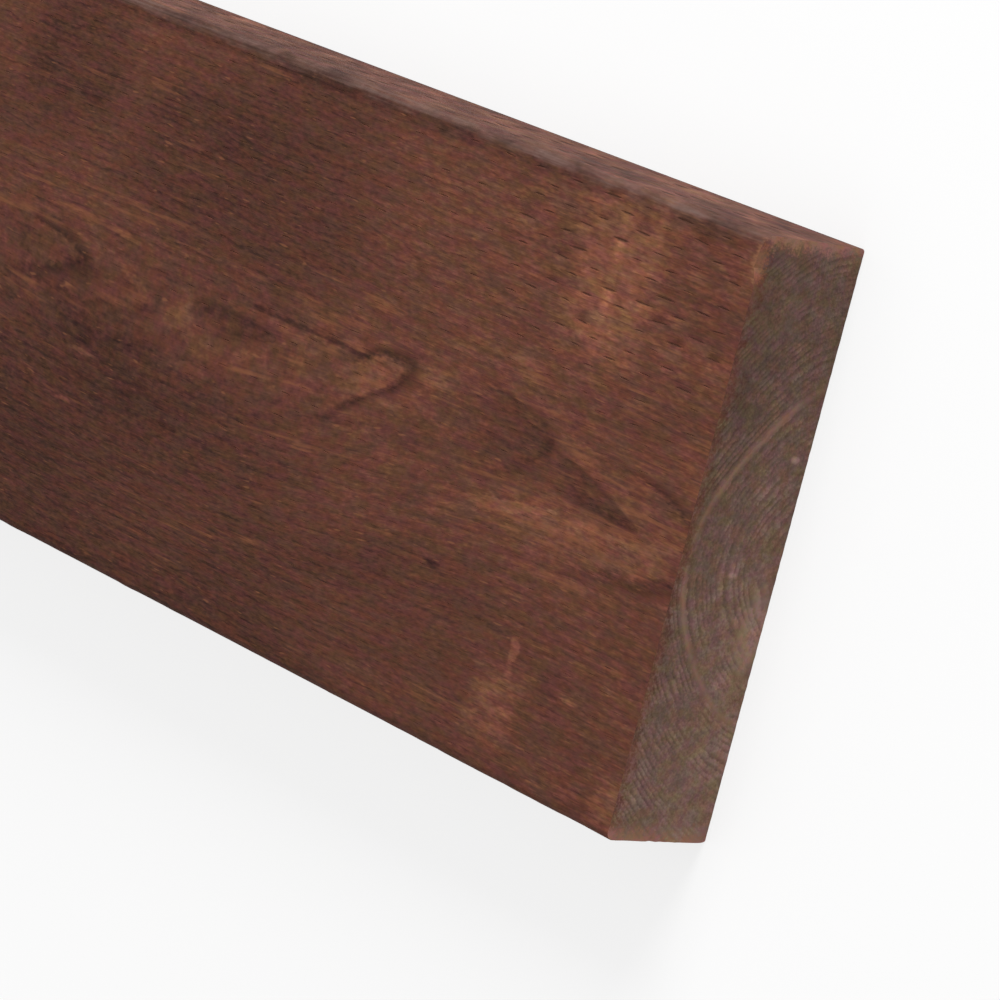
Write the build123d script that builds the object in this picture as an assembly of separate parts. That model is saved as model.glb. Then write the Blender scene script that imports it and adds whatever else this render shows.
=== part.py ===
from build123d import *
import os

# One straight length of dressed structural timber, lying flat on its back face.
# Its length runs along X, its width along Y and its thickness up along Z.
# The origin is at the middle of the back face.

# Driving sizes, in millimetres
BOARD_LENGTH = 2438.4
BOARD_WIDTH = 285.75
BOARD_THICKNESS = 63.5
# The planer eases the two arrises of the upper face more than the two of the back face
FACE_ARRIS_RADIUS = 4.0
BACK_ARRIS_RADIUS = 1.5


def dressed_section():
    """The planed cross-section, standing on the origin in the YZ plane."""
    with BuildSketch(Plane.YZ) as section:
        Rectangle(BOARD_WIDTH, BOARD_THICKNESS, align=(Align.CENTER, Align.MIN))
        fillet(section.vertices().group_by(Axis.Y)[-1], radius=FACE_ARRIS_RADIUS)
        fillet(section.vertices().group_by(Axis.Y)[0], radius=BACK_ARRIS_RADIUS)
    return section.sketch


def sawn_board():
    """The section run out evenly to a square-sawn end on each side of the origin."""
    with BuildPart() as board:
        extrude(dressed_section(), amount=BOARD_LENGTH / 2, both=True)
    board.part.label = "board"
    return board.part


os.makedirs("parts", exist_ok=True)
export_step(sawn_board(), "parts/board.step")
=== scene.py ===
import collections
import math
import random

import bpy
from mathutils import Matrix, Vector, geometry, noise


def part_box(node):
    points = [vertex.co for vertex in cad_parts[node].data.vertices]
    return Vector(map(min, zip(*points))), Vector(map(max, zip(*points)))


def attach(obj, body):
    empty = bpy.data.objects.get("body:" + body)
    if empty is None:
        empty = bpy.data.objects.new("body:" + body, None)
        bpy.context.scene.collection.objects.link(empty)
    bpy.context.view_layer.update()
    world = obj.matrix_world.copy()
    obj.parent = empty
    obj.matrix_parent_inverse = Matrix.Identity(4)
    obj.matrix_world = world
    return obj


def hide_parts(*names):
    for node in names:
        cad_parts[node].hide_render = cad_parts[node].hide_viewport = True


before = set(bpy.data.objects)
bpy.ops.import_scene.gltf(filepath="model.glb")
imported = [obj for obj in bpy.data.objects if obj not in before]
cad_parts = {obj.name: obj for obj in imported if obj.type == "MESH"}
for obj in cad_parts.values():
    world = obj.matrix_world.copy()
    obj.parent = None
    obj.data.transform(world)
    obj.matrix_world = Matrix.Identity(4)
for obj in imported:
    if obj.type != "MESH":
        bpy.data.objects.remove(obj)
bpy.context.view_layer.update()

# The board's box and its eased arrises, in metres
MILLIMETRE = 0.001
board_low, board_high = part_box("board")
LENGTH = board_high.x - board_low.x
WIDTH = board_high.y - board_low.y
THICKNESS = board_high.z - board_low.z
HALF_WIDTH = WIDTH / 2
FACE_ARRIS_RADIUS = 4.0 * MILLIMETRE
BACK_ARRIS_RADIUS = 1.5 * MILLIMETRE

# The lattices of slits that the incising rollers press into the wide faces and the narrow edges: pitch along
# a row, pitch of the rows, and length, width and depth of a slit. The shares are of the pitch: how far the
# first slit is from the end, and how far every other row is shifted
FACE_PITCH = 25.4 * MILLIMETRE
FACE_ROW_PITCH = 6.0 * MILLIMETRE
FACE_SLIT = Vector((13.5, 2.1, 0.6)) * MILLIMETRE
FACE_START_SHARES = (0.53, 0.5)
EDGE_PITCH = 27.6 * MILLIMETRE
EDGE_ROW_PITCH = 9.0 * MILLIMETRE
EDGE_SLIT = Vector((12.0, 3.0, 0.35)) * MILLIMETRE
EDGE_START_SHARES = (0.85, 0.0)
SLIT_MARGIN = 2.2 * MILLIMETRE
SLIT_STRAY_ALONG = 1.1 * MILLIMETRE
SLIT_STRAY_ACROSS = 0.55 * MILLIMETRE
SLIT_LEAN = math.radians(2.2)
MISSED_SHARE = 0.12
SHOULDER_SHARE = 0.3
KEEL_SHARE = 0.38
# How open the slits have stayed, from 0 up to about 1, drifts over each face. On the wide face they are more
# open by the shown arris, and most by the shown end, up to distances from them that are shares of the width
DRIFT_LENGTH = 160.0 * MILLIMETRE
DRIFT_WIDTH = 60.0 * MILLIMETRE
OPEN_END_SHARES = (0.3, 0.9)
OPEN_ARRIS_SHARES = (0.2, 0.45)
EDGE_OPENNESS = 1.3
EDGE_DRIFT = 0.3
BACK_OPENNESS = 0.45
BACK_DRIFT = 0.4
WIDE_OPENNESS = 0.16
WIDE_DRIFT = 0.22
ARRIS_OPENNESS = 0.16
CORNER_OPENNESS = 0.42
# The least, most and likeliest share of that which a single slit keeps, and the limits of what comes of it
SLIT_SPREAD_SHARES = (0.15, 1.7, 0.7)
OPENNESS_LIMITS = (0.07, 1.4)
# Length and depth as shares of the full ones, and darkness: of a closed slit, and what opening adds
SLIT_LENGTH_SHARES = (0.55, 0.45)
SLIT_DEPTH_SHARES = (0.25, 0.75)
SLIT_SHADES = (0.25, 0.6)
EDGE_SHADES = (0.0, 2.2)
LENGTH_SPREAD_SHARES = (0.8, 1.2)

# The arrises' dents, and the sawn ends' ridges and torn edges
ARRIS_STEPS = 5
COLUMN_PITCH = 6.35 * MILLIMETRE
DENT_SHARE = 0.22
DENT_LENGTH = 34.0 * MILLIMETRE
DENT_BASE_SHARE = 0.35
DENT_NOISE_SHARE = 0.5
NICKS_PER_DENT = 4.0
NICK_SEED = 7.0
END_STEP = 3.0 * MILLIMETRE
END_GRID_STEP = 5.5 * MILLIMETRE
END_GRID_STRAY = 1.2 * MILLIMETRE
SAW_RIDGE_PITCH = 7.0 * MILLIMETRE
SAW_RIDGE_HEIGHT = 0.12 * MILLIMETRE
SAW_RIDGE_SLANT = math.radians(78.0)
TORN_DEPTH = 0.25 * MILLIMETRE
FAR_TORN_DEPTH = 1.2 * MILLIMETRE
TORN_LENGTH = 2.6 * MILLIMETRE
TORN_BASE_SHARE = 0.3
END_SEED = 21
# A chip off the shown end, where the wide face meets the shown edge: how far its middle is from that edge,
# its sizes, how far the wood that it bares reaches along the board, how ragged both are, and how that fades
CHIP_MIDDLE = 13.0 * MILLIMETRE
CHIP_HALF = 12.0 * MILLIMETRE
CHIP_HEIGHT = 6.0 * MILLIMETRE
CHIP_DEPTH = 2.6 * MILLIMETRE
CHIP_REACH = 6.0 * MILLIMETRE
CHIP_FULL_SHARE = 0.3
CHIP_RAGGED_SHARE = 0.5
BARED_RAGGED = 1.5
BARED_FADE = (0.4, 1.1, 0.8, 0.0)
SHARP_ANGLE = math.radians(32.0)
# Wear and painted sheen, from 0 to 1, of the narrow edges and the arrises, and how an arris's wear and sheen
# rise from its sides and are broken up. Their grey-brown paints both the wear and the light that they catch
EDGE_WEAR_AND_SHEEN = 0.3
ARRIS_WEAR_AND_SHEEN = 1.0
FAR_ARRIS_WEAR_AND_SHEEN = 0.1
WEAR_AND_SHEEN_STEEPNESS = 1.6
WEAR_AND_SHEEN_BASE_SHARE = 0.85
WEAR_AND_SHEEN_NOISE_SHARE = 0.4
FACE_SLOT = 0
END_SLOT = 1

# The map that colours are baked through: the long faces lie side by side along it, each with the arris
# after it, and the two ends lie past them
MAP_NAME = "OFBake"
MAP_FACE_SHARES = (0.08, 0.46, 0.08, 0.23)
MAP_END_SHARE = 0.11
MAP_GAP_SHARE = 0.006

# The growth rings are pointed arches round a pith just under the back face, which climbs towards the
# board's middle
RING_WIDTH = 4.4 * MILLIMETRE
RING_UNEVEN = 2.0 * MILLIMETRE
RING_UNEVEN_PITCH = 20.0 * MILLIMETRE
RING_CROWDING = 0.35
RING_FLATNESS_SHARE = 0.87
RING_POINT_SHARE = 0.08
PITH_ACROSS = -6.0 * MILLIMETRE
PITH_HEIGHT = -16.0 * MILLIMETRE
PITH_RISE = 14.8 * MILLIMETRE
RING_SWAY_SIZE = 70.0 * MILLIMETRE
RING_SWAY_REACH = Vector((20.0, 5.0, 1.4)) * MILLIMETRE
RING_SEED = 5
PALE_RING_RADIUS = 75.0 * MILLIMETRE

# The noise in the wood: sizes of its features along the grain and across it, in millimetres, then its seed,
# detail and roughness
NOISES = {
    "cloud": (140.0, 45.0, 1.3, 2.0, 0.5),
    "mottle": (13.0, 5.0, 2.7, 2.0, 0.6),
    "streak": (50.0, 1.8, 3.1, 2.0, 0.6),
    "speck": (4.2, 1.6, 4.9, 1.0, 0.6),
    "warp": (50.0, 18.0, 5.2, 1.0, 0.5),
    "fibre": (10.0, 0.6, 6.3, 1.0, 0.5),
    "tan": (60.0, 3.0, 7.4, 2.0, 0.6),
    "face red": (18.0, 7.0, 8.8, 3.0, 0.75),
    "fleck": (9.0, 1.5, 9.6, 0.0, 0.5),
    "edge patch": (26.0, 18.0, 10.2, 2.0, 0.6),
    "face mauve": (18.0, 7.0, 14.96, 3.0, 0.75),
    "end cloud": (40.0, 24.0, 21.4, 3.0, 0.6),
    "pore": (1.3, 1.3, 22.9, 2.0, 0.6),
    "blotch": (13.0, 5.0, 23.6, 2.0, 0.6),
    "end red": (10.0, 8.0, 25.1, 3.0, 0.75),
    "end mauve": (10.0, 8.0, 42.67, 3.0, 0.75),
}
WARP_REACH = Vector((32.0, 8.0, 0.0)) * MILLIMETRE

# Tones run from 0, the darkest colour, to 1, the palest. Weights in the tone of the stained faces are those
# of cloud, mottle, streak, speck, fibre and late wood, and on the narrow edges of patch, mottle and streak
FACE_TONE = 0.5
GRAIN_WEIGHTS = (0.24, 0.3, 0.26, 0.38, 0.16, -0.12)
EDGE_WEIGHTS = (0.95, 0.2, -0.16)
# Weights of heart, mottle, cloud and tongues in the tan streaks, of mottle in the flecks, of mottle and speck
# in the worn wood and its painted sheen, and of speck in the bump
TAN_WEIGHTS = (0.1, 0.3, 0.3, 0.6)
FLECK_WEIGHT = 0.4
WEAR_AND_SHEEN_WEIGHTS = (0.5, 0.4)
BUMP_WEIGHT = 0.8
BUMP_STRENGTH = 0.35
# Ranges of the stained faces: two values that a rise lies between, and its results there if not 0 and 1
LATE_RISE = (0.55, 0.92)
LATE_FALL = (0.96, 1.0, 1.0, 0.0)
LATE_PATCHES = (-0.1, 0.12)
STAIN_PATCHES = (-0.2, 0.2, 0.6, 1.4)
EDGE_GRAIN = (0.0, EDGE_WEAR_AND_SHEEN, 1.0, 0.8)
# Painted sheen on the narrow edges: paler towards the back face and darker towards the wide face
EDGE_PAINTED_SHEEN = (0.0, THICKNESS, 0.06, -0.07)
HUE_RANGE = (-0.14, 0.14)
TAN_RANGE = (0.12, 0.36, 0.0, 0.6)
FLECK_RANGE = (0.24, 0.38, 0.0, 0.4)
WEAR_AND_SHEEN_STREAKS = (-0.2, 0.15, 0.6, 0.95)
WEAR_AND_SHEEN_PATCHES = (-0.14, 0.14, 0.55, 1.0)
WEAR_AND_SHEEN_RANGE = (-0.25, 0.25)
SLIT_RANGE = (0.0, 0.85, 0.0, 0.95)
DEEP_SLIT_RANGE = (0.8, 1.8, 0.0, 0.85)
FACE_ROUGHNESS = (-0.25, 0.25, 0.68, 0.88)

# Weights on the sawn ends: of cloud, pore, blotch, late and outer wood in the tone, of blotch and pore in
# the rings and the rim, of pore and blotch in the pale ring, and of late wood in the bump
END_TONE = 0.55
END_WEIGHTS = (0.55, 0.52, 0.5, -0.15, -0.04)
RING_WEIGHTS = (0.5, 0.22)
PALE_RING_WEIGHTS = (1.0, 0.8)
RIM_TONE = 0.56
RIM_WEIGHTS = (0.7, 0.5)
END_BUMP_WEIGHT = 0.12
END_BUMP_STRENGTH = 0.6
# Ranges of the sawn ends
END_LATE_RISE = (0.35, 0.8)
END_LATE_FALL = (0.9, 1.0, 1.0, 0.0)
END_LATE_PATCHES = (-0.15, 0.15, 0.0, 1.2)
END_LOWER = (-HALF_WIDTH, HALF_WIDTH, 0.14, -0.10)
END_UNDER = (0.0, THICKNESS, 0.10, -0.07)
PALE_RING_PATCHES = (-0.15, 0.05, 0.5, 1.0)
END_ROUGHNESS = (-0.25, 0.25, 0.8, 0.95)
SPECULAR_LEVEL = 0.1
BUMP_HEIGHT = 0.3 * MILLIMETRE
PATCH_DEPTH = 3.0 * MILLIMETRE

# The tongues of grain: softness and raggedness of the outline, and the width of its dark line at the tip
# and past it. The line is thinner on the upper side, and a tongue fades out along its length
TONGUE_EDGE = 0.8 * MILLIMETRE
TONGUE_RAGGED = 3.5 * MILLIMETRE
TONGUE_TIP_LINE = 8.0 * MILLIMETRE
TONGUE_SIDE_LINE = 5.2 * MILLIMETRE
TONGUE_TIP_SHARE = 0.4
TONGUE_UPPER_LINE = (-0.6, 0.4, 0.55, 1.0)
TONGUE_FADE = (0.35, 0.75, 1.0, 0.0)

# The bands of the wide faces beside the shown edge, as distances from it: a pale one, then a dark one that
# ends at the arris with its wear and painted highlight. Painted shade darkens the faces by the back arrises
PALE_BAND_START = 42.0 * MILLIMETRE
PALE_BAND_FULL = 26.0 * MILLIMETRE
PALE_BAND_CHANGE = 0.05
DARK_BAND_START = 13.0 * MILLIMETRE
DARK_BAND_FULL = 7.0 * MILLIMETRE
DARK_BAND_CHANGE = -0.15
BAND_INNER = 5.5 * MILLIMETRE
BAND_OUTER = 2.5 * MILLIMETRE
STRIP_RAGGED = 4.0 * MILLIMETRE
# Where the shown arris's wear and painted highlight reach onto the wide face
WEAR_AND_SHEEN_START = 7.0 * MILLIMETRE
WEAR_AND_SHEEN_FULL = 2.5 * MILLIMETRE
# Painted shade along the back arrises
BACK_SHADE_INNER = 6.0 * MILLIMETRE
BACK_SHADE_OUTER = 1.5 * MILLIMETRE
BACK_SHADE_TOP = 5.0 * MILLIMETRE
BACK_SHADE_CHANGE = -0.3

# The band of the width that holds the grain's tongues and tan streaks
HEART_MIDDLE_SHARE = 0.49
HEART_REACH_SHARES = (0.04, 0.26)

# The grain under that band slopes down past the tongues: where the slope starts and stops, as shares of the
# width from the shown end, where it begins and ends across the face, and how far down it goes
FLOW_START_SHARES = (0.2, 1.3)
FLOW_STOP_SHARES = (1.5, 2.8)
FLOW_UPPER_SHARES = (0.38, 0.66)
FLOW_LOWER_SHARES = (0.74, 0.96)
FLOW_DROP_SHARE = 0.095

# The stained rim of the sawn ends, beside the wide faces and the narrow edges, and their pale ring
FACE_RIM = 8.0 * MILLIMETRE
EDGE_RIM = 8.0 * MILLIMETRE
RIM_WANDER = 12.0 * MILLIMETRE
RIM_RAGGED = 14.0 * MILLIMETRE
FACE_RIM_SHARE = 0.7
EDGE_RIM_SHARE = 0.9
PALE_RING_HALF = 0.65
PALE_RING_SHARE = 0.75

# Stains on the wide face: distance of the middle from the shown end and from the shown edge, half length and
# half width, all as shares of the width, and how much paler or darker the stain is
STAIN_SHARES = (
    (0.3, 0.13, 0.11, 0.17, 0.1),
    (0.33, 0.2, 0.09, 0.12, 0.05),
    (0.02, 0.05, 0.025, 0.05, 0.04),
    (0.333, 0.885, 0.062, 0.065, 0.17),
    (0.22, 0.56, 0.17, 0.03, 0.09),
    (0.06, 0.5, 0.06, 0.05, 0.05),
    (0.025, 0.94, 0.035, 0.05, 0.12),
    (1.36, 0.5, 0.05, 0.025, 0.1),
    (0.9, 0.48, 0.2, 0.05, 0.05),
    (1.55, 0.585, 0.2, 0.04, -0.08),
    (1.25, 0.2, 0.38, 0.2, -0.11),
    (1.8, 0.14, 0.16, 0.11, -0.14),
    (0.6, 0.85, 0.6, 0.22, -0.06),
    (1.7, 0.84, 0.85, 0.28, -0.12),
    (0.22, 0.42, 0.2, 0.14, -0.03),
    (1.45, 0.45, 0.35, 0.16, 0.03),
    (2.7, 0.35, 0.4, 0.2, 0.07),
    (3.9, 0.7, 0.5, 0.18, -0.08),
    (5.1, 0.25, 0.06, 0.22, 0.12),
    (6.4, 0.55, 0.5, 0.25, -0.07),
    (7.6, 0.3, 0.07, 0.18, 0.12),
)

# Where a stain fades out, as shares of its half sizes, and how square it is
STAIN_FADE_SHARES = (0.6, 1.2)
STAIN_SQUARENESS = 4

# How much darker the wide face is away from the shown end, between these shares of the width
FAR_CHANGE = -0.06
FAR_SHARES = (0.7, 1.7)

# Small marks on the wide face, with the same columns
MARK_SHARES = (
    (0.314, 0.79, 0.012, 0.042, 0.2),
    (0.313, 0.13, 0.014, 0.15, 0.09),
    (0.232, 0.11, 0.013, 0.12, 0.07),
    (0.655, 0.425, 0.055, 0.022, 0.15),
    (0.462, 0.335, 0.032, 0.011, 0.15),
    (0.4, 0.45, 0.06, 0.04, -0.05),
    (0.558, 0.712, 0.02, 0.01, -0.2),
    (0.965, 0.436, 0.18, 0.006, -0.2),
    (1.14, 0.434, 0.026, 0.009, -0.18),
    (1.29, 0.48, 0.036, 0.012, -0.12),
    (1.6, 0.64, 0.05, 0.005, 0.28),
    (1.61, 0.735, 0.03, 0.005, 0.24),
    (0.165, 0.823, 0.028, 0.005, 0.22),
    (1.84, 0.48, 0.01, 0.06, -0.07),
)

# How ragged the marks are, and where they fade out in the same way
MARK_RAGGED = 2.2
END_MARK_RAGGED = 1.5
MARK_FADE_SHARES = (0.4, 1.2)

# Chips and scuffs on the shown end: place from the middle of the width and from the back face, half width and
# half height, as shares of the width and the thickness, and how much paler they are
END_MARK_SHARES = (
    (0.148, 0.13, 0.007, 0.05, 0.4),
    (-0.05, 0.45, 0.006, 0.05, 0.3),
    (-0.14, 0.08, 0.075, 0.16, 0.2),
    (0.4, 0.72, 0.09, 0.3, 0.07),
)

# Tongues of grain on the wide face: distance of the tip from the shown end and from the shown edge, length,
# half width and lean, all as shares of the width, how much paler or darker the tongue is, and how dark
# its outline is
TONGUE_SHARES = (
    (0.744, 0.423, 0.3, 0.074, 0.46, 0.06, 0.23),
    (-0.12, 0.522, 0.6, 0.13, 0.0, 0.0, 0.18),
    (0.337, 0.459, 0.38, 0.112, 0.04, -0.08, 0.08),
    (0.09, 0.5, 0.36, 0.044, -0.15, 0.06, 0.0),
    (0.112, 0.514, 0.36, 0.041, -0.15, -0.15, 0.0),
    (0.3, 0.545, 0.34, 0.017, 0.22, 0.14, 0.0),
    (0.13, 0.548, 0.26, 0.014, 0.05, 0.1, 0.0),
    (1.628, 0.48, 0.35, 0.06, 0.05, 0.03, 0.2),
    (1.395, 0.5, 0.16, 0.045, 0.05, 0.02, 0.12),
    (1.1, 0.478, 0.3, 0.032, -0.02, -0.14, 0.04),
    (2.4, 0.52, 0.55, 0.09, -0.1, 0.05, 0.22),
    (3.35, 0.45, 0.7, 0.1, 0.06, -0.1, 0.14),
    (5.6, 0.53, -0.6, 0.095, 0.05, 0.05, 0.2),
    (7.1, 0.47, -0.45, 0.08, 0.1, -0.11, 0.12),
)


def linear(red, green, blue):
    """A shader colour from the 0 to 255 numbers that a screen shows."""
    shares = [number / 255.0 for number in (red, green, blue)]
    light = [s / 12.92 if s <= 0.04045 else ((s + 0.055) / 1.055) ** 2.4 for s in shares]
    return (*light, 1.0)


# Colours of the stained faces, from dark to pale
FACE_STOPS = (
    (0.0, linear(38, 23, 20)),
    (0.25, linear(68, 42, 34)),
    (0.5, linear(98, 61, 48)),
    (0.75, linear(130, 85, 64)),
    (1.0, linear(168, 118, 86)),
)
BARED_COLOUR = linear(140, 95, 70)
# A tint that cools and greys the narrow edges: a painted sheen
EDGE_SHEEN_TINT = (1.0, 1.02, 1.1, 1.0)
SLIT_COLOUR = linear(82, 53, 42)
DEEP_SLIT_COLOUR = linear(54, 34, 30)
TAN_COLOUR = linear(132, 83, 56)
FLECK_COLOUR = linear(146, 95, 64)
# Grey-browns for the wear and painted sheen of the arrises and narrow edges, from dark to pale
WEAR_AND_SHEEN_DARK_COLOUR = linear(84, 64, 57)
WEAR_AND_SHEEN_PALE_COLOUR = linear(104, 83, 77)
RED_TINT = (1.09, 0.91, 1.01, 1.0)
OLIVE_TINT = (0.94, 1.04, 0.94, 1.0)
MAUVE_TINT = (0.99, 0.985, 1.14, 1.0)
YELLOW_TINT = (1.01, 1.015, 0.86, 1.0)

# Colours of the sawn ends, from dark to pale
END_STOPS = (
    (0.0, linear(58, 44, 37)),
    (0.35, linear(92, 72, 62)),
    (0.6, linear(116, 92, 80)),
    (1.0, linear(158, 130, 114)),
)
PALE_RING_COLOUR = linear(140, 109, 92)
EDGE_RIM_COLOUR = linear(150, 108, 92)

# The camera that matches the photo's view
CAMERA_PLACE = Vector((2.78391, 0.38321, 1.66345))
CAMERA_AIM = Vector((1.09487, -0.01892, 0.0635))
CAMERA_ROLL = math.radians(-84.60)
CAMERA_LENS_MM = 181.80
CAMERA_SENSOR_MM = 36.0
CAMERA_NEAR = 0.05
CAMERA_FAR = 200.0

# The floor and the light
FLOOR_HALF = 60.0
FLOOR_GAP = 0.2 * MILLIMETRE
FLOOR_COLOUR = (0.9, 0.9, 0.9, 1.0)
FLOOR_WHITE_SHARE = 0.75
WORLD_STRENGTH = 0.45
# Name, place, aim, size and power of the lamps
LAMPS = (
    ("key", Vector((1.7, 4.0, 2.1)), Vector((0.9, 0.0, 0.0)), 2.4, 205.0),
    ("top", Vector((0.0, -0.6, 4.2)), Vector((0.0, 0.0, 0.0)), 4.0, 40.0),
)


def soft_step(value, low, high):
    """0 at low and 1 at high, with a soft rise between them."""
    share = min(max((value - low) / (high - low), 0.0), 1.0)
    return share * share * (3.0 - 2.0 * share)


# Shape of the board

Lattice = collections.namedtuple("Lattice", "pitch row_pitch slit start_shares")
Slit = collections.namedtuple("Slit", "x across half_length half_width depth lean shade")
LongFace = collections.namedtuple("LongFace", "name place half_width seed wear lattice")
Arris = collections.namedtuple("Arris", "y z radius first_angle wear")

columns_count = round(LENGTH / COLUMN_PITCH)
columns = [board_low.x + LENGTH * number / columns_count for number in range(columns_count + 1)]
face_arris_y = HALF_WIDTH - FACE_ARRIS_RADIUS
face_arris_z = THICKNESS - FACE_ARRIS_RADIUS
edge_middle = (BACK_ARRIS_RADIUS + THICKNESS - FACE_ARRIS_RADIUS) / 2
edge_half = (face_arris_z - BACK_ARRIS_RADIUS) / 2
back_arris_y = HALF_WIDTH - BACK_ARRIS_RADIUS


def chip_depth(y, z):
    """How far the chip sets the shown end back."""
    along = abs(HALF_WIDTH - y - CHIP_MIDDLE) / CHIP_HALF
    down = (THICKNESS - z) / CHIP_HEIGHT
    return CHIP_DEPTH * (1.0 - soft_step(along, CHIP_FULL_SHARE, 1.0)) * (1.0 - soft_step(down, 0.0, 1.0))


def torn(x, y, z):
    """A point of the board, drawn in a little where the saw left ridges and tore the end's fibres."""
    if abs(x) < board_high.x:
        return Vector((x, y, z))
    along_ridges = y * math.sin(SAW_RIDGE_SLANT) + z * math.cos(SAW_RIDGE_SLANT)
    ridge = 0.5 + 0.5 * math.sin(math.tau * along_ridges / SAW_RIDGE_PITCH)
    edge_distance = min(HALF_WIDTH - abs(y), z, THICKNESS - z)
    fibres = noise.noise(Vector((y, z, x)) / TORN_LENGTH)
    tear = max(0.0, TORN_BASE_SHARE + fibres) * (1.0 - soft_step(edge_distance, 0.0, TORN_LENGTH))
    deepest = FAR_TORN_DEPTH if y < TORN_LENGTH - HALF_WIDTH else TORN_DEPTH
    depth = SAW_RIDGE_HEIGHT * ridge + deepest * tear
    if x > 0:
        depth += chip_depth(y, z) * (1.0 + CHIP_RAGGED_SHARE * fibres)
    return Vector((x - math.copysign(depth, x), y, z))


def shown_edge_place(x, across, depth):
    return torn(x, HALF_WIDTH - depth, edge_middle - across)


def wide_place(x, across, depth):
    return torn(x, across, THICKNESS - depth)


def far_edge_place(x, across, depth):
    return torn(x, depth - HALF_WIDTH, edge_middle + across)


def back_place(x, across, depth):
    return torn(x, -across, depth)


FACE_LATTICE = Lattice(FACE_PITCH, FACE_ROW_PITCH, FACE_SLIT, FACE_START_SHARES)
EDGE_LATTICE = Lattice(EDGE_PITCH, EDGE_ROW_PITCH, EDGE_SLIT, EDGE_START_SHARES)
# The flat faces, each with the place of a point at a distance along it, across it and below it
LONG_FACES = (
    LongFace("edge", shown_edge_place, edge_half, 13, EDGE_WEAR_AND_SHEEN, EDGE_LATTICE),
    LongFace("wide", wide_place, face_arris_y, 11, 0.0, FACE_LATTICE),
    LongFace("edge", far_edge_place, edge_half, 14, EDGE_WEAR_AND_SHEEN, EDGE_LATTICE),
    LongFace("back", back_place, back_arris_y, 12, 0.0, FACE_LATTICE),
)
# The arris that follows each long face, going round the section
ARRISES = (
    Arris(face_arris_y, face_arris_z, FACE_ARRIS_RADIUS, 0.0, ARRIS_WEAR_AND_SHEEN),
    Arris(-face_arris_y, face_arris_z, FACE_ARRIS_RADIUS, math.pi / 2, FAR_ARRIS_WEAR_AND_SHEEN),
    Arris(-back_arris_y, BACK_ARRIS_RADIUS, BACK_ARRIS_RADIUS, math.pi, ARRIS_WEAR_AND_SHEEN),
    Arris(back_arris_y, BACK_ARRIS_RADIUS, BACK_ARRIS_RADIUS, 3 * math.pi / 2, ARRIS_WEAR_AND_SHEEN),
)


class Skin:
    """The board's mesh as it grows: points with their cut and their wear and painted sheen, and faces with
    their material.
    """

    def __init__(self):
        self.numbers = {}
        self.points = []
        self.cuts = []
        self.wear_and_sheen_values = []
        self.faces = []
        self.slots = []
        self.map_spots = []

    def point(self, place, cut=0.0, wear=0.0):
        """The number of the point at this place, which neighbouring faces share."""
        key = tuple(round(value / MILLIMETRE, 3) for value in place)
        if key not in self.numbers:
            self.numbers[key] = len(self.points)
            self.points.append(place)
            self.cuts.append(cut)
            self.wear_and_sheen_values.append(wear)
        return self.numbers[key]

    def face(self, corners, map_spots, slot=FACE_SLOT):
        self.faces.append(corners)
        self.map_spots += map_spots
        self.slots.append(slot)


def strip_spot(number, x, girth):
    """The place on the map of a point of a long face or of the arris after it, this far round the section."""
    whole = 2 * LONG_FACES[number].half_width + math.pi / 2 * ARRISES[number].radius
    start = sum(MAP_FACE_SHARES[:number]) + MAP_GAP_SHARE * (number + 1)
    along = MAP_GAP_SHARE + (1.0 - 2 * MAP_GAP_SHARE) * (x - board_low.x) / LENGTH
    return along, start + MAP_FACE_SHARES[number] * girth / whole


def end_spot(place):
    """The place on the map of a point of a sawn end."""
    side = 0.5 if place.x > 0 else 0.0
    along = side + MAP_GAP_SHARE + (0.5 - 2 * MAP_GAP_SHARE) * (place.y / WIDTH + 0.5)
    start = sum(MAP_FACE_SHARES) + MAP_GAP_SHARE * (len(MAP_FACE_SHARES) + 1)
    return along, start + MAP_END_SHARE * place.z / THICKNESS


def slit_openness(face, x, across):
    """From 0 up to about 1, how open a slit has stayed."""
    drift = noise.noise(Vector((x / DRIFT_LENGTH, across / DRIFT_WIDTH, face.seed)))
    if face.name == "back":
        return BACK_OPENNESS + BACK_DRIFT * drift
    if face.name != "wide":
        return EDGE_OPENNESS + EDGE_DRIFT * drift
    by_end = 1.0 - soft_step((board_high.x - x) / WIDTH, *OPEN_END_SHARES)
    by_arris = 1.0 - soft_step((HALF_WIDTH - across) / WIDTH, *OPEN_ARRIS_SHARES)
    return WIDE_OPENNESS + WIDE_DRIFT * drift + by_arris * (ARRIS_OPENNESS + CORNER_OPENNESS * by_end)


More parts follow.
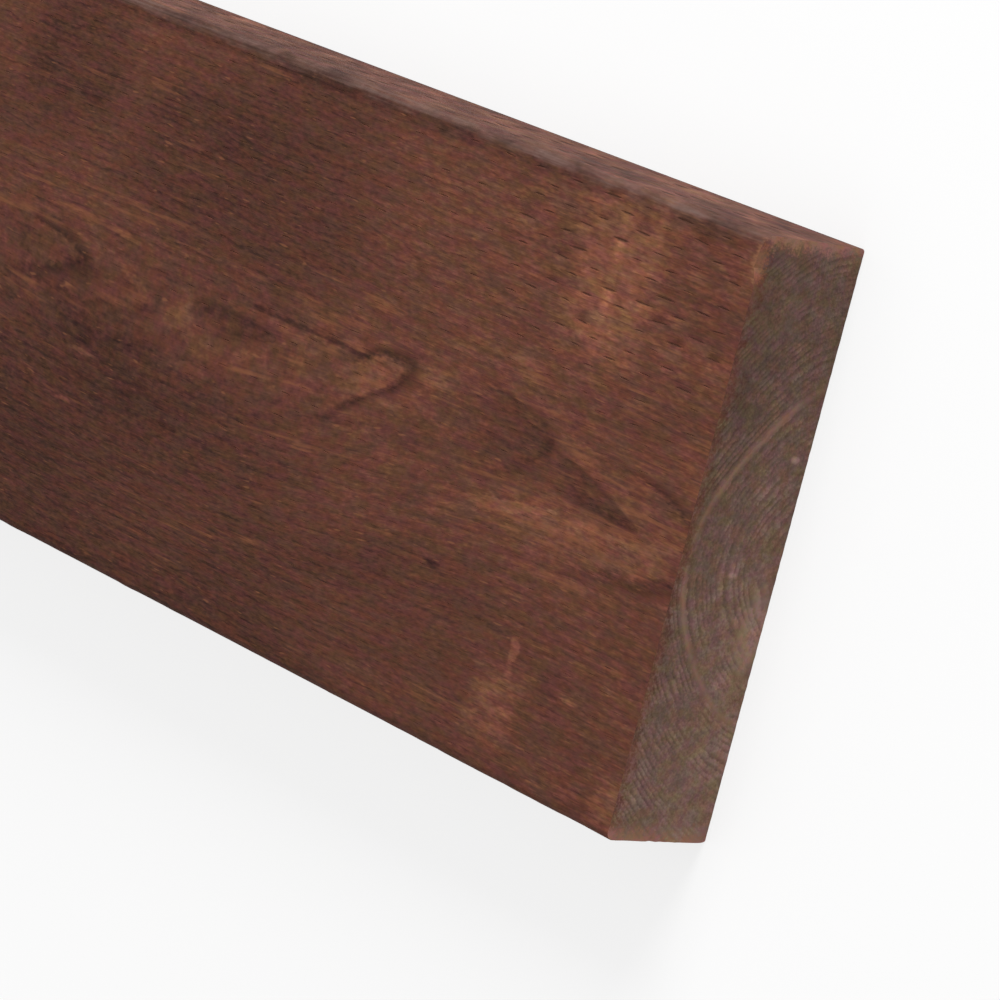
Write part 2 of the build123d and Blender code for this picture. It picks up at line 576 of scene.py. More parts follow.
def slit_layout(face):
    """The slits of a long face, in staggered rows, with the small errors that the rollers make."""
    chance = random.Random(face.seed)
    lattice = face.lattice
    slit_length, slit_width, slit_depth = lattice.slit
    first_share, shift_share = lattice.start_shares
    least, most = OPENNESS_LIMITS
    closed_length, opened_length = SLIT_LENGTH_SHARES
    closed_depth, opened_depth = SLIT_DEPTH_SHARES
    closed_shade, opened_shade = EDGE_SHADES if face.wear else SLIT_SHADES
    rows = int(2 * (face.half_width - SLIT_MARGIN) / lattice.row_pitch) + 1
    per_row = int(LENGTH / lattice.pitch)
    slits = []
    for row in range(rows):
        row_across = (row - (rows - 1) / 2) * lattice.row_pitch
        start = first_share - shift_share * (row % 2)
        for number in range(per_row):
            x = board_high.x - (number + start) * lattice.pitch + chance.gauss(0.0, SLIT_STRAY_ALONG)
            across = row_across + chance.uniform(-SLIT_STRAY_ACROSS, SLIT_STRAY_ACROSS)
            openness = slit_openness(face, x, across) * chance.triangular(*SLIT_SPREAD_SHARES)
            openness = min(max(openness, least), most)
            half_length = slit_length / 2 * (closed_length + opened_length * openness)
            half_length *= chance.uniform(*LENGTH_SPREAD_SHARES)
            half_width = slit_width / 2 * openness
            depth = slit_depth * (closed_depth + opened_depth * openness)
            lean = chance.gauss(0.0, SLIT_LEAN)
            inside = abs(x) + half_length < board_high.x - SLIT_MARGIN
            missed = chance.random() < MISSED_SHARE
            if inside and not missed:
                shade = closed_shade + opened_shade * openness
                slits.append(Slit(x, across, half_length, half_width, depth, lean, shade))
    return slits


# Faces of a slit, as numbers of its rim points and then of its keel's ends
SLIT_FACES = ((0, 1, 6), (1, 2, 7, 6), (2, 3, 7), (3, 4, 7), (4, 5, 6, 7), (5, 0, 6))
RIM_COUNT = 6


def slit_points(slit):
    """A slit's six rim points, from its tip at low x, and the two ends of its keel, as (x, across)."""
    shoulder = slit.half_length * SHOULDER_SHARE
    keel = slit.half_length * KEEL_SHARE
    flat = [
        (-slit.half_length, 0.0),
        (-shoulder, -slit.half_width),
        (shoulder, -slit.half_width),
        (slit.half_length, 0.0),
        (shoulder, slit.half_width),
        (-shoulder, slit.half_width),
        (-keel, 0.0),
        (keel, 0.0),
    ]
    turn = Matrix.Rotation(slit.lean, 2)
    return [Vector((slit.x, slit.across)) + turn @ Vector(spot) for spot in flat]


def end_steps(half_width):
    """Distances across a long face at which it meets the sawn ends."""
    count = max(round(2 * half_width / END_STEP), 1)
    return [half_width * (2 * number / count - 1) for number in range(count + 1)]


def add_long_face(skin, number):
    """A flat long face with its slits cut into it."""
    face = LONG_FACES[number]
    steps = end_steps(face.half_width)
    outline = [(x, -face.half_width) for x in columns]
    outline += [(board_high.x, s) for s in steps[1:]]
    outline += [(x, face.half_width) for x in reversed(columns[:-1])]
    outline += [(board_low.x, s) for s in reversed(steps[1:-1])]
    spots = [Vector(spot) for spot in outline]
    points = [skin.point(face.place(x, s, 0.0), wear=face.wear) for x, s in outline]
    edges = [(first, (first + 1) % len(spots)) for first in range(len(spots))]
    owners = [None] * len(spots)

    def add_face(corners, spots, points):
        places = [strip_spot(number, spots[c].x, face.half_width - spots[c].y) for c in corners]
        skin.face([points[c] for c in corners], places)

    for owner, slit in enumerate(slit_layout(face)):
        cut_spots = slit_points(slit)
        rim, keel = cut_spots[:RIM_COUNT], cut_spots[RIM_COUNT:]
        cut_points = [skin.point(face.place(*spot, 0.0), wear=face.wear) for spot in rim]
        cut_points += [skin.point(face.place(*spot, slit.depth), slit.shade, face.wear) for spot in keel]
        for corners in SLIT_FACES:
            add_face(corners, cut_spots, cut_points)
        first = len(spots)
        spots += rim
        points += cut_points[:RIM_COUNT]
        owners += [owner] * RIM_COUNT
        edges += [(first + step, first + (step + 1) % RIM_COUNT) for step in range(RIM_COUNT)]
    flat = [spot / MILLIMETRE for spot in spots]
    for corners in geometry.delaunay_2d_cdt(flat, edges, [], 0, MILLIMETRE)[2]:
        sharing = {owners[c] for c in corners}
        if len(sharing) > 1 or None in sharing:
            add_face(corners, spots, points)


def arris_spot(arris, x, step):
    """A point of an arris's quarter round, drawn in where it is dented, and how much wear and painted sheen
    it has there.
    """
    rounding = math.sin(math.pi * step / ARRIS_STEPS)
    knocks = noise.noise(Vector((x / DENT_LENGTH, arris.first_angle, 0.0)))
    nicks = noise.noise(Vector((NICKS_PER_DENT * x / DENT_LENGTH, arris.first_angle, NICK_SEED)))
    dent = max(0.0, DENT_BASE_SHARE + DENT_NOISE_SHARE * knocks + DENT_NOISE_SHARE * nicks) * rounding
    radius = arris.radius * (1.0 - DENT_SHARE * dent)
    angle = arris.first_angle + math.pi / 2 * step / ARRIS_STEPS
    y = arris.y + radius * math.cos(angle)
    z = arris.z + radius * math.sin(angle)
    wear_and_sheen_share = arris.wear * min(WEAR_AND_SHEEN_STEEPNESS * rounding, 1.0)
    return torn(x, y, z), wear_and_sheen_share * (WEAR_AND_SHEEN_BASE_SHARE + WEAR_AND_SHEEN_NOISE_SHARE * knocks)


def add_arris(skin, number):
    """The quarter round after a long face."""
    arris = ARRISES[number]
    face_girth = 2 * LONG_FACES[number].half_width
    step_girth = math.pi / 2 * arris.radius / ARRIS_STEPS
    girths = [face_girth + step_girth * step for step in range(ARRIS_STEPS + 1)]
    points = []
    map_spots = []
    for x in columns:
        spots = [arris_spot(arris, x, step) for step in range(ARRIS_STEPS + 1)]
        points.append([skin.point(place, wear=wear) for place, wear in spots])
        map_spots.append([strip_spot(number, x, girth) for girth in girths])
    for column in range(columns_count):
        for step in range(ARRIS_STEPS):
            corners = ((column, step), (column, step + 1), (column + 1, step + 1), (column + 1, step))
            skin.face([points[c][s] for c, s in corners], [map_spots[c][s] for c, s in corners])


def add_end(skin, x):
    """A square-sawn end, filled between its outline and a loose grid of points."""
    outline = []
    for face, arris in zip(LONG_FACES, ARRISES):
        outline += [face.place(x, s, 0.0) for s in reversed(end_steps(face.half_width))]
        outline += [arris_spot(arris, x, step)[0] for step in range(1, ARRIS_STEPS)]
    chance = random.Random(END_SEED)
    inner = []
    rows = int(THICKNESS / END_GRID_STEP)
    across_count = int(WIDTH / END_GRID_STEP)
    for row in range(1, rows):
        for number in range(1, across_count):
            y = WIDTH * (number / across_count - 0.5) + chance.uniform(-END_GRID_STRAY, END_GRID_STRAY)
            z = THICKNESS * row / rows + chance.uniform(-END_GRID_STRAY, END_GRID_STRAY)
            inner.append(torn(x, y, z))
    spots = outline + inner
    numbers = [skin.point(spot) for spot in spots]
    edges = [(number, (number + 1) % len(outline)) for number in range(len(outline))]
    flat = [Vector((spot.y, spot.z)) / MILLIMETRE for spot in spots]
    for corners in geometry.delaunay_2d_cdt(flat, edges, [], 1, MILLIMETRE)[2]:
        outward = corners if x > 0 else corners[::-1]
        skin.face([numbers[c] for c in outward], [end_spot(spots[c]) for c in outward], END_SLOT)


def rings_within(radius):
    """How many growth rings, uneven and ever closer, lie within this distance of the pith."""
    crowded = radius * (radius / PALE_RING_RADIUS) ** RING_CROWDING
    return (crowded + RING_UNEVEN * math.sin(math.tau * radius / RING_UNEVEN_PITCH)) / RING_WIDTH


def ring_count(place):
    """How many growth rings lie between the pith and this place."""
    sway = noise.noise_vector(place / RING_SWAY_SIZE) * RING_SWAY_REACH
    x, y, z = place + sway
    climb = PITH_RISE * math.sin(math.pi * min(max(x / LENGTH + 0.5, 0.0), 1.0))
    aside = (y - PITH_ACROSS) * RING_FLATNESS_SHARE
    rise = z - PITH_HEIGHT - climb
    radius = math.hypot(aside, rise)
    point = (2.0 * aside * rise / radius ** 2) ** 2
    return rings_within(radius * (1.0 + RING_POINT_SHARE * point))


def stain(place):
    """How much paler or darker than the rest the wide face is here."""
    if place.z < THICKNESS - PATCH_DEPTH:
        return 0.0
    from_end = (board_high.x - place.x) / WIDTH
    from_edge = (HALF_WIDTH - place.y) / WIDTH
    total = FAR_CHANGE * soft_step(from_end, *FAR_SHARES)
    for end_share, edge_share, long_share, wide_share, change in STAIN_SHARES:
        along = abs(from_end - end_share) / long_share
        across = abs(from_edge - edge_share) / wide_share
        distance = (along ** STAIN_SQUARENESS + across ** STAIN_SQUARENESS) ** (1 / STAIN_SQUARENESS)
        total += change * (1.0 - soft_step(distance, *STAIN_FADE_SHARES))
    return total


def heart(place):
    """From 0 to 1, how near this is to the band that holds the grain's tongues and tan streaks."""
    off_middle = abs((HALF_WIDTH - place.y) / WIDTH - HEART_MIDDLE_SHARE)
    return 1.0 - soft_step(off_middle, *HEART_REACH_SHARES)


def make_board(materials):
    """The board's piece, which stands for the plain solid."""
    skin = Skin()
    for number in range(len(LONG_FACES)):
        add_long_face(skin, number)
    for number in range(len(ARRISES)):
        add_arris(skin, number)
    for x in (board_low.x, board_high.x):
        add_end(skin, x)
    mesh = bpy.data.meshes.new("treated_board")
    mesh.from_pydata(skin.points, [], skin.faces)
    noise.seed_set(RING_SEED)
    values = {"cut": skin.cuts, "wear": skin.wear_and_sheen_values}
    for name, measure in (("rings", ring_count), ("stain", stain), ("heart", heart)):
        values[name] = [measure(place) for place in skin.points]
    for name, numbers in values.items():
        mesh.attributes.new(name, "FLOAT", "POINT").data.foreach_set("value", numbers)
    baking_map = mesh.uv_layers.new(name=MAP_NAME)
    baking_map.uv.foreach_set("vector", [value for spot in skin.map_spots for value in spot])
    mesh.polygons.foreach_set("material_index", skin.slots)
    mesh.polygons.foreach_set("use_smooth", [True] * len(skin.faces))
    for material in materials:
        mesh.materials.append(material)
    mesh.set_sharp_from_angle(angle=SHARP_ANGLE)
    mesh.update()
    piece = bpy.data.objects.new("treated_board", mesh)
    bpy.context.scene.collection.objects.link(piece)
    return piece


# Materials


class Paint:
    """Short ways to add a material's nodes and link them."""

    def __init__(self, name):
        self.material = bpy.data.materials.new(name)
        self.material.use_nodes = True
        self.tree = self.material.node_tree
        self.shader = self.tree.nodes["Principled BSDF"]
        self.place = self.add("ShaderNodeTexCoord").outputs["Object"]
        self.grain = self.place
        self.x, self.y, self.z = self.add("ShaderNodeSeparateXYZ", self.place).outputs

    def add(self, kind, *values, **settings):
        """A new node with these settings, and with these values in its first sockets."""
        node = self.tree.nodes.new(kind)
        for name, value in settings.items():
            setattr(node, name, value)
        for socket, value in zip(node.inputs, values):
            self.put(socket, value)
        return node

    def put(self, socket, value):
        """Links a node's output to the socket, or sets the socket to a plain value."""
        if isinstance(value, bpy.types.NodeSocket):
            self.tree.links.new(value, socket)
        else:
            socket.default_value = value

    def math(self, operation, *values, clamp=False):
        return self.add("ShaderNodeMath", *values, operation=operation, use_clamp=clamp).outputs[0]

    def vector(self, operation, *values):
        node = self.add("ShaderNodeVectorMath", *values, operation=operation)
        return node.outputs["Value" if operation in ("LENGTH", "DOT_PRODUCT") else "Vector"]

    def rise(self, value, low, high, low_result=0.0, high_result=1.0):
        """low_result up to low and high_result from high on, with a soft rise between them."""
        numbers = (value, low, high, low_result, high_result)
        return self.add("ShaderNodeMapRange", *numbers, interpolation_type="SMOOTHSTEP").outputs[0]

    def blend(self, share, first, second, how="MIX"):
        node = self.add("ShaderNodeMix", data_type="RGBA", blend_type=how)
        self.put(node.inputs[0], share)
        self.put(node.inputs[6], first)
        self.put(node.inputs[7], second)
        return node.outputs[2]

    def noise_node(self, name):
        along_mm, across_mm, seed, detail, roughness = NOISES[name]
        per_metre = Vector((1.0 / along_mm, 1.0 / across_mm, 1.0 / across_mm)) / MILLIMETRE
        shifted = self.vector("MULTIPLY_ADD", self.grain, per_metre, (seed, -seed, seed))
        node = self.add("ShaderNodeTexNoise", shifted)
        for socket, value in (("Scale", 1.0), ("Detail", detail), ("Roughness", roughness)):
            self.put(node.inputs[socket], value)
        return node

    def noise(self, name):
        """A named noise, from -0.5 to 0.5."""
        return self.math("SUBTRACT", self.noise_node(name).outputs[0], 0.5)

    def warped_place(self, name, reach):
        """The place, pushed about by a named noise by up to half the reach on each axis."""
        colour = self.noise_node(name).outputs["Color"]
        push = self.vector("SUBTRACT", colour, (0.5, 0.5, 0.5))
        return self.vector("MULTIPLY_ADD", push, reach, self.place)

    def total(self, start, *parts):
        """start plus each part times its weight."""
        for part, weight in parts:
            start = self.math("MULTIPLY_ADD", part, weight, start)
        return start

    def ramp(self, value, stops):
        """Colours at shares from 0 to 1 of a value."""
        node = self.add("ShaderNodeValToRGB", value)
        elements = node.color_ramp.elements
        while len(elements) < len(stops):
            elements.new(1.0)
        for element, (share, colour) in zip(elements, stops):
            element.position = share
            element.color = colour
        return node.outputs[0]

    def attribute(self, name):
        return self.add("ShaderNodeAttribute", attribute_name=name).outputs["Fac"]

    def join(self, x, y):
        """A vector from two numbers."""
        return self.add("ShaderNodeCombineXYZ", x, y).outputs[0]

    def blob(self, middle, halves, roughen, ragged, fade):
        """A ragged blob with these half sizes, which fades from its middle, at 0, to its outline, at 1."""
        offset = self.vector("SUBTRACT", self.place, middle)
        distance = self.vector("LENGTH", self.vector("MULTIPLY", offset, [1.0 / half for half in halves]))
        return self.rise(self.total(distance, (roughen, ragged)), *fade)

    def bump(self, height, strength):
        node = self.add("ShaderNodeBump")
        for name, value in (("Strength", strength), ("Distance", BUMP_HEIGHT), ("Height", height)):
            self.put(node.inputs[name], value)
        self.put(self.shader.inputs["Normal"], node.outputs[0])


def wide_face_spot(end_share, edge_share):
    """The place on the wide face at these shares of the width from the shown end and edge."""
    return Vector((board_high.x - end_share * WIDTH, HALF_WIDTH - edge_share * WIDTH, THICKNESS))


def wide_face_marks(paint, roughen):
    """How much paler or darker the wide face's small marks make it, roughened by a noise."""
    total = 0.0
    for end_share, edge_share, long_share, wide_share, change in MARK_SHARES:
        middle = wide_face_spot(end_share, edge_share)
        halves = (long_share * WIDTH, wide_share * WIDTH, PATCH_DEPTH)
        fade = (*MARK_FADE_SHARES, change, 0.0)
        total = paint.math("ADD", total, paint.blob(middle, halves, roughen, MARK_RAGGED, fade))
    return total


def wide_face_tongues(paint, place, roughen):
    """How much paler or darker the wide face's tongues of grain make it, with ragged outlines."""
    total = 0.0
    for end_share, edge_share, long_share, wide_share, lean_share, change, dark in TONGUE_SHARES:
        offset = paint.vector("SUBTRACT", place, wide_face_spot(end_share, edge_share))
        along = paint.vector("DOT_PRODUCT", offset, (-1.0 / (long_share * WIDTH), 0.0, 0.0))
        half = wide_share * WIDTH
        across = paint.vector("DOT_PRODUCT", offset, (lean_share / half, -1.0 / half, 1.0 / PATCH_DEPTH))
        inward = paint.math("SUBTRACT", along, paint.math("MULTIPLY", across, across))
        side_slope = paint.math("MULTIPLY", across, 2.0 / half)
        slope = paint.vector("LENGTH", paint.join(1.0 / (long_share * WIDTH), side_slope))
        inside = paint.total(paint.math("DIVIDE", inward, slope), (roughen, TONGUE_RAGGED))
        lower_side = paint.rise(across, *TONGUE_UPPER_LINE)
        body = paint.rise(inside, -TONGUE_EDGE, TONGUE_EDGE, 0.0, change)
        line_width = paint.rise(along, 0.0, TONGUE_TIP_SHARE, TONGUE_TIP_LINE, TONGUE_SIDE_LINE)
        reach = paint.math("MULTIPLY", line_width, lower_side)
        line = paint.rise(paint.math("ABSOLUTE", inside), 0.0, reach, -dark, 0.0)
        both = paint.math("ADD", body, line)
        total = paint.math("MULTIPLY_ADD", both, paint.rise(along, *TONGUE_FADE), total)
    return total


def flowing_grain(paint):
    """The place that the grain's noise is read at, drawn aside where the grain flows round the tongues."""
    starts, starts_full = [board_high.x - share * WIDTH for share in FLOW_START_SHARES]
    stops, stopped = [board_high.x - share * WIDTH for share in FLOW_STOP_SHARES]
    upper, upper_full = [HALF_WIDTH - share * WIDTH for share in FLOW_UPPER_SHARES]
    lower_full, lower = [HALF_WIDTH - share * WIDTH for share in FLOW_LOWER_SHARES]
    drawn = paint.rise(paint.x, starts_full, starts, FLOW_DROP_SHARE * WIDTH, 0.0)
    drawn = paint.math("MULTIPLY", drawn, paint.rise(paint.x, stopped, stops))
    drawn = paint.math("MULTIPLY", drawn, paint.rise(paint.y, upper_full, upper, 1.0, 0.0))
    drawn = paint.math("MULTIPLY", drawn, paint.rise(paint.y, lower, lower_full))
    return paint.vector("ADD", paint.place, paint.join(0.0, drawn))


def arris_strip(paint, streak):
    """How much paler or darker the bands of the wide faces are that lie beside the shown edge."""
    across = paint.total(paint.y, (streak, STRIP_RAGGED))
    inward = paint.math("SUBTRACT", HALF_WIDTH, across)
    pale = paint.rise(inward, PALE_BAND_FULL, PALE_BAND_START, PALE_BAND_CHANGE, 0.0)
    dark = paint.rise(inward, DARK_BAND_FULL, DARK_BAND_START, DARK_BAND_CHANGE, 0.0)
    to_arris = paint.rise(inward, BAND_OUTER, BAND_INNER)
    return paint.math("MULTIPLY", paint.math("ADD", pale, dark), to_arris)


def back_arris_painted_shade(paint, streak):
    """How much darker the painted shade along the back arrises makes the faces beside them."""
    by_edge = paint.rise(paint.math("ABSOLUTE", paint.y), HALF_WIDTH - BACK_SHADE_INNER, HALF_WIDTH - BACK_SHADE_OUTER)
    height = paint.total(paint.z, (streak, STRIP_RAGGED))
    return paint.math("MULTIPLY", by_edge, paint.rise(height, 0.0, BACK_SHADE_TOP, BACK_SHADE_CHANGE, 0.0))


def tinted(paint, colour, red_noise, mauve_noise):
    """The colour, drifting between red and olive by one noise and between mauve and yellow by another."""
    for name, first, second in ((red_noise, RED_TINT, OLIVE_TINT), (mauve_noise, MAUVE_TINT, YELLOW_TINT)):
        hue = paint.rise(paint.noise(name), *HUE_RANGE)
        colour = paint.blend(1.0, colour, paint.blend(hue, first, second), "MULTIPLY")
    return colour


def bared_wood(paint, roughen):
    """From 0 up, how much of the wood that the chip bares shows here."""
    middle = Vector((board_high.x, HALF_WIDTH - CHIP_MIDDLE, THICKNESS))
    return paint.blob(middle, (CHIP_REACH, CHIP_HALF, CHIP_HEIGHT), roughen, BARED_RAGGED, BARED_FADE)


def stained_faces():
    """Brown preservative stain over grain that runs along the board."""
    paint = Paint("stained_faces")
    paint.grain = flowing_grain(paint)
    cloud = paint.noise("cloud")
    mottle = paint.noise("mottle")
    streak = paint.noise("streak")
    speck = paint.noise("speck")
    fibre = paint.noise("fibre")
    patch = paint.noise("edge patch")

    phase = paint.math("FRACT", paint.attribute("rings"))
    late = paint.math("MULTIPLY", paint.rise(phase, *LATE_RISE), paint.rise(phase, *LATE_FALL))
    late = paint.math("MULTIPLY", late, paint.rise(mottle, *LATE_PATCHES))

    ragged = paint.warped_place("warp", WARP_REACH)
    stained = paint.math("MULTIPLY", paint.attribute("stain"), paint.rise(mottle, *STAIN_PATCHES))
    tongues = wide_face_tongues(paint, ragged, speck)
    wear = paint.attribute("wear")
    on_edge = paint.rise(wear, 0.0, EDGE_WEAR_AND_SHEEN)
    grain = paint.total(0.0, *zip((cloud, mottle, streak, speck, fibre, late), GRAIN_WEIGHTS))
    tone = paint.math("MULTIPLY_ADD", grain, paint.rise(wear, *EDGE_GRAIN), FACE_TONE)
    # The changes include painted shade along the back arrises
    for change in (
        stained,
        wide_face_marks(paint, mottle),
        tongues,
        arris_strip(paint, streak),
        back_arris_painted_shade(paint, streak),
    ):
        tone = paint.math("ADD", tone, change)
    # The narrow edges' own tone, with a painted sheen that pales them towards the back face
    edge_tone_and_sheen = paint.total(paint.rise(paint.z, *EDGE_PAINTED_SHEEN), *zip((patch, mottle, streak), EDGE_WEIGHTS))
    tone = paint.math("MULTIPLY_ADD", on_edge, edge_tone_and_sheen, tone, clamp=True)
    # The narrow edges are cooled by a tint that paints their sheen
    colour = paint.blend(on_edge, paint.ramp(tone, FACE_STOPS), EDGE_SHEEN_TINT, "MULTIPLY")
    colour = tinted(paint, colour, "face red", "face mauve")

    streaks = (paint.attribute("heart"), mottle, cloud, tongues)
    tan = paint.total(paint.noise("tan"), *zip(streaks, TAN_WEIGHTS))
    colour = paint.blend(paint.rise(tan, *TAN_RANGE), colour, TAN_COLOUR)
    fleck = paint.total(paint.noise("fleck"), (mottle, FLECK_WEIGHT))
    colour = paint.blend(paint.rise(fleck, *FLECK_RANGE), colour, FLECK_COLOUR)

    # Wear and painted highlight grey the arrises, the narrow edges and a band beside the shown arris
    across = paint.total(paint.y, (streak, STRIP_RAGGED), (mottle, STRIP_RAGGED))
    by_arris = paint.rise(across, HALF_WIDTH - WEAR_AND_SHEEN_START, HALF_WIDTH - WEAR_AND_SHEEN_FULL)
    on_top = paint.rise(paint.z, THICKNESS - PATCH_DEPTH, THICKNESS)
    wear = paint.math("MAXIMUM", wear, paint.math("MULTIPLY", by_arris, on_top))
    wear = paint.math("MULTIPLY", wear, paint.rise(streak, *WEAR_AND_SHEEN_STREAKS))
    wear = paint.math("MULTIPLY", wear, paint.rise(patch, *WEAR_AND_SHEEN_PATCHES), clamp=True)
    wear_and_sheen_share = paint.rise(paint.total(streak, *zip((mottle, speck), WEAR_AND_SHEEN_WEIGHTS)), *WEAR_AND_SHEEN_RANGE)
    colour = paint.blend(wear, colour, paint.blend(wear_and_sheen_share, WEAR_AND_SHEEN_DARK_COLOUR, WEAR_AND_SHEEN_PALE_COLOUR))
    colour = paint.blend(bared_wood(paint, speck), colour, BARED_COLOUR)
    cut = paint.attribute("cut")
    colour = paint.blend(paint.rise(cut, *SLIT_RANGE), colour, SLIT_COLOUR)
    colour = paint.blend(paint.rise(cut, *DEEP_SLIT_RANGE), colour, DEEP_SLIT_COLOUR)
    paint.put(paint.shader.inputs["Base Color"], colour)

    paint.put(paint.shader.inputs["Roughness"], paint.rise(streak, *FACE_ROUGHNESS))
    paint.shader.inputs["Specular IOR Level"].default_value = SPECULAR_LEVEL
    paint.bump(paint.total(fibre, (speck, BUMP_WEIGHT)), BUMP_STRENGTH)
    return paint.material


def end_marks(paint, roughen):
    """How much paler the shown end's chips and scuffs make it, roughened by a noise."""
    total = 0.0
    for across_share, up_share, wide_share, high_share, change in END_MARK_SHARES:
        middle = Vector((board_high.x, across_share * WIDTH, up_share * THICKNESS))
        halves = (PATCH_DEPTH, wide_share * WIDTH, high_share * THICKNESS)
        fade = (*MARK_FADE_SHARES, change, 0.0)
        total = paint.math("ADD", total, paint.blob(middle, halves, roughen, END_MARK_RAGGED, fade))
    return total


def sawn_ends():
    """Grey-brown end grain: growth rings about the pith, saw marks, and a stained rim."""
    paint = Paint("sawn_ends")
    rings = paint.attribute("rings")
    pale_ring = rings_within(PALE_RING_RADIUS)
    cloud = paint.noise("end cloud")
    pore = paint.noise("pore")
    blotch = paint.noise("blotch")
    phase = paint.math("FRACT", paint.total(rings, *zip((blotch, pore), RING_WEIGHTS)))
    late = paint.math("MULTIPLY", paint.rise(phase, *END_LATE_RISE), paint.rise(phase, *END_LATE_FALL))
    late = paint.math("MULTIPLY", late, paint.rise(cloud, *END_LATE_PATCHES))
    outer = paint.rise(rings, pale_ring - 1.0, pale_ring)
    tone = paint.total(END_TONE, *zip((cloud, pore, blotch, late, outer), END_WEIGHTS))
    tone = paint.math("ADD", tone, paint.rise(paint.y, *END_LOWER))
    tone = paint.math("ADD", tone, paint.rise(paint.z, *END_UNDER))
    colour = paint.ramp(paint.math("ADD", tone, end_marks(paint, pore), clamp=True), END_STOPS)
    off_ring = paint.math("ABSOLUTE", paint.math("SUBTRACT", rings, pale_ring))
    off_ring = paint.total(off_ring, *zip((pore, blotch), PALE_RING_WEIGHTS))
    pale = paint.rise(off_ring, 0.0, PALE_RING_HALF, PALE_RING_SHARE, 0.0)
    pale = paint.math("MULTIPLY", pale, paint.rise(cloud, *PALE_RING_PATCHES))
    colour = paint.blend(pale, colour, PALE_RING_COLOUR)

    ragged = paint.total(0.0, (cloud, RIM_WANDER), (blotch, RIM_RAGGED), (pore, RIM_RAGGED))
    from_face = paint.math("ADD", paint.math("SUBTRACT", THICKNESS, paint.z), ragged)
    from_edge = paint.math("SUBTRACT", HALF_WIDTH, paint.math("ABSOLUTE", paint.y))
    from_edge = paint.math("ADD", from_edge, ragged)
    face_rim = paint.rise(from_face, 0.0, FACE_RIM, FACE_RIM_SHARE, 0.0)
    edge_rim = paint.rise(from_edge, 0.0, EDGE_RIM, EDGE_RIM_SHARE, 0.0)
    rim_colour = paint.ramp(paint.total(RIM_TONE, *zip((blotch, pore), RIM_WEIGHTS)), FACE_STOPS)
    colour = paint.blend(face_rim, colour, rim_colour)
    colour = paint.blend(edge_rim, colour, EDGE_RIM_COLOUR)
    colour = paint.blend(bared_wood(paint, pore), colour, BARED_COLOUR)
    paint.put(paint.shader.inputs["Base Color"], tinted(paint, colour, "end red", "end mauve"))

    paint.put(paint.shader.inputs["Roughness"], paint.rise(blotch, *END_ROUGHNESS))
    paint.shader.inputs["Specular IOR Level"].default_value = SPECULAR_LEVEL
    paint.bump(paint.total(pore, (late, END_BUMP_WEIGHT)), END_BUMP_STRENGTH)
    return paint.material


# The floor, the light and the camera


def pale_floor():
    """A white floor that keeps the board's shadow and shows as white where nothing shades it."""
    material = bpy.data.materials.new("pale_floor")
    material.use_nodes = True
    nodes = material.node_tree.nodes
    links = material.node_tree.links
    nodes.clear()
    matte = nodes.new("ShaderNodeBsdfDiffuse")
    matte.inputs["Color"].default_value = FLOOR_COLOUR
    white = nodes.new("ShaderNodeEmission")
    ray = nodes.new("ShaderNodeLightPath")
    seen = nodes.new("ShaderNodeMath")
    seen.operation = "MULTIPLY"
    seen.inputs[1].default_value = FLOOR_WHITE_SHARE
    mixed = nodes.new("ShaderNodeMixShader")
    out = nodes.new("ShaderNodeOutputMaterial")
    links.new(ray.outputs["Is Camera Ray"], seen.inputs[0])
    links.new(seen.outputs[0], mixed.inputs[0])
    links.new(matte.outputs[0], mixed.inputs[1])
    links.new(white.outputs[0], mixed.inputs[2])
    links.new(mixed.outputs[0], out.inputs[0])
    return material


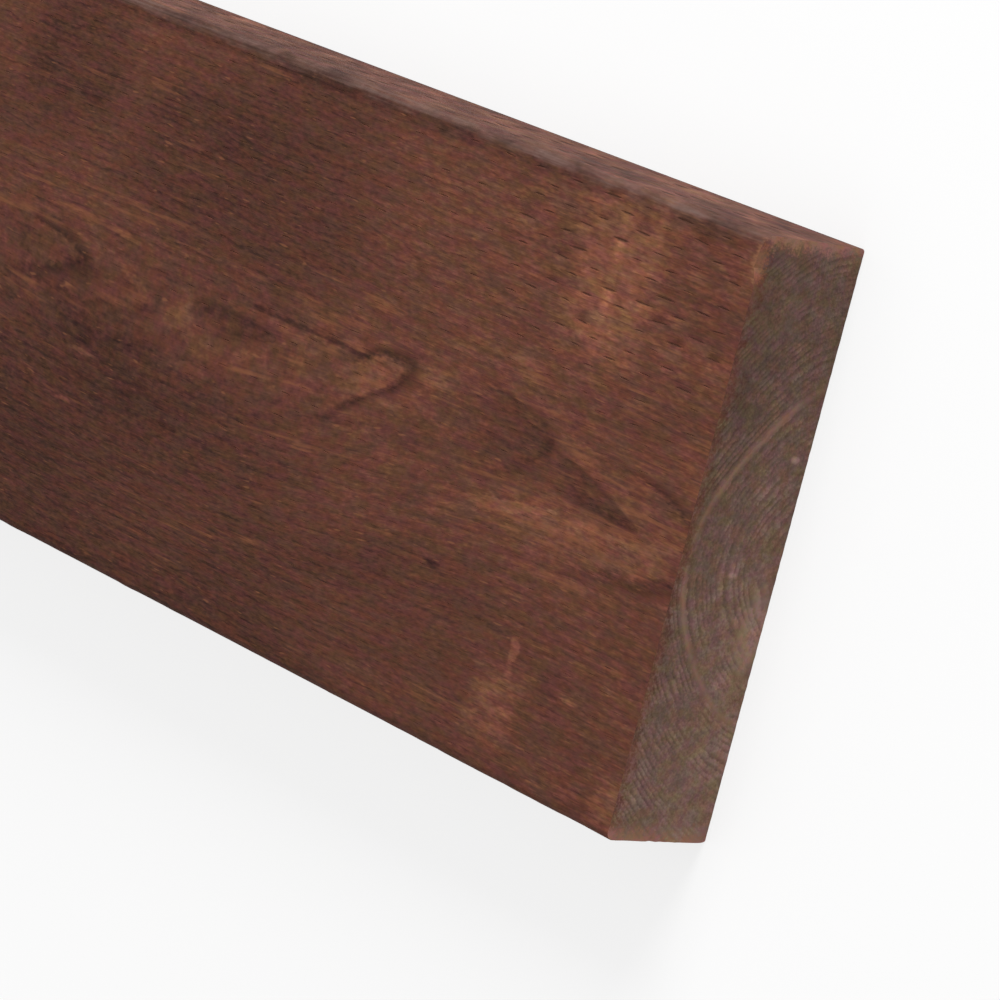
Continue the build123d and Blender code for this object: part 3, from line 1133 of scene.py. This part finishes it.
def make_floor():
    mesh = bpy.data.meshes.new("floor")
    corners = [(-1, -1), (1, -1), (1, 1), (-1, 1)]
    mesh.from_pydata([(x * FLOOR_HALF, y * FLOOR_HALF, -FLOOR_GAP) for x, y in corners], [], [(0, 1, 2, 3)])
    mesh.materials.append(pale_floor())
    floor = bpy.data.objects.new("floor", mesh)
    bpy.context.scene.collection.objects.link(floor)


def light_world():
    """Even soft light all round, seen as white."""
    world = bpy.data.worlds.new("studio")
    bpy.context.scene.world = world
    world.use_nodes = True
    nodes = world.node_tree.nodes
    links = world.node_tree.links
    nodes.clear()
    ray = nodes.new("ShaderNodeLightPath")
    strength = nodes.new("ShaderNodeMapRange")
    strength.inputs["To Min"].default_value = WORLD_STRENGTH
    strength.inputs["To Max"].default_value = 1.0
    background = nodes.new("ShaderNodeBackground")
    background.inputs["Color"].default_value = (1.0, 1.0, 1.0, 1.0)
    out = nodes.new("ShaderNodeOutputWorld")
    links.new(ray.outputs["Is Camera Ray"], strength.inputs["Value"])
    links.new(strength.outputs[0], background.inputs["Strength"])
    links.new(background.outputs[0], out.inputs[0])


def add_lamp(name, place, aim, size, power):
    """A square soft lamp that faces its aim."""
    data = bpy.data.lights.new(name, "AREA")
    data.shape = "SQUARE"
    data.size = size
    data.energy = power
    lamp = bpy.data.objects.new(name, data)
    lamp.location = place
    lamp.rotation_euler = (aim - place).to_track_quat("-Z", "Y").to_euler()
    bpy.context.scene.collection.objects.link(lamp)


def make_camera():
    data = bpy.data.cameras.new("camera")
    data.lens = CAMERA_LENS_MM
    data.sensor_width = CAMERA_SENSOR_MM
    data.clip_start = CAMERA_NEAR
    data.clip_end = CAMERA_FAR
    camera = bpy.data.objects.new("camera", data)
    level = (CAMERA_AIM - CAMERA_PLACE).to_track_quat("-Z", "Y").to_matrix()
    turned = level @ Matrix.Rotation(CAMERA_ROLL, 3, "Z")
    camera.matrix_world = Matrix.Translation(CAMERA_PLACE) @ turned.to_4x4()
    bpy.context.scene.collection.objects.link(camera)
    bpy.context.scene.camera = camera


board = make_board([stained_faces(), sawn_ends()])
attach(board, "root")
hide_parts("board")
make_floor()
light_world()
for lamp in LAMPS:
    add_lamp(*lamp)
make_camera()
bpy.context.scene.view_settings.view_transform = "Standard"
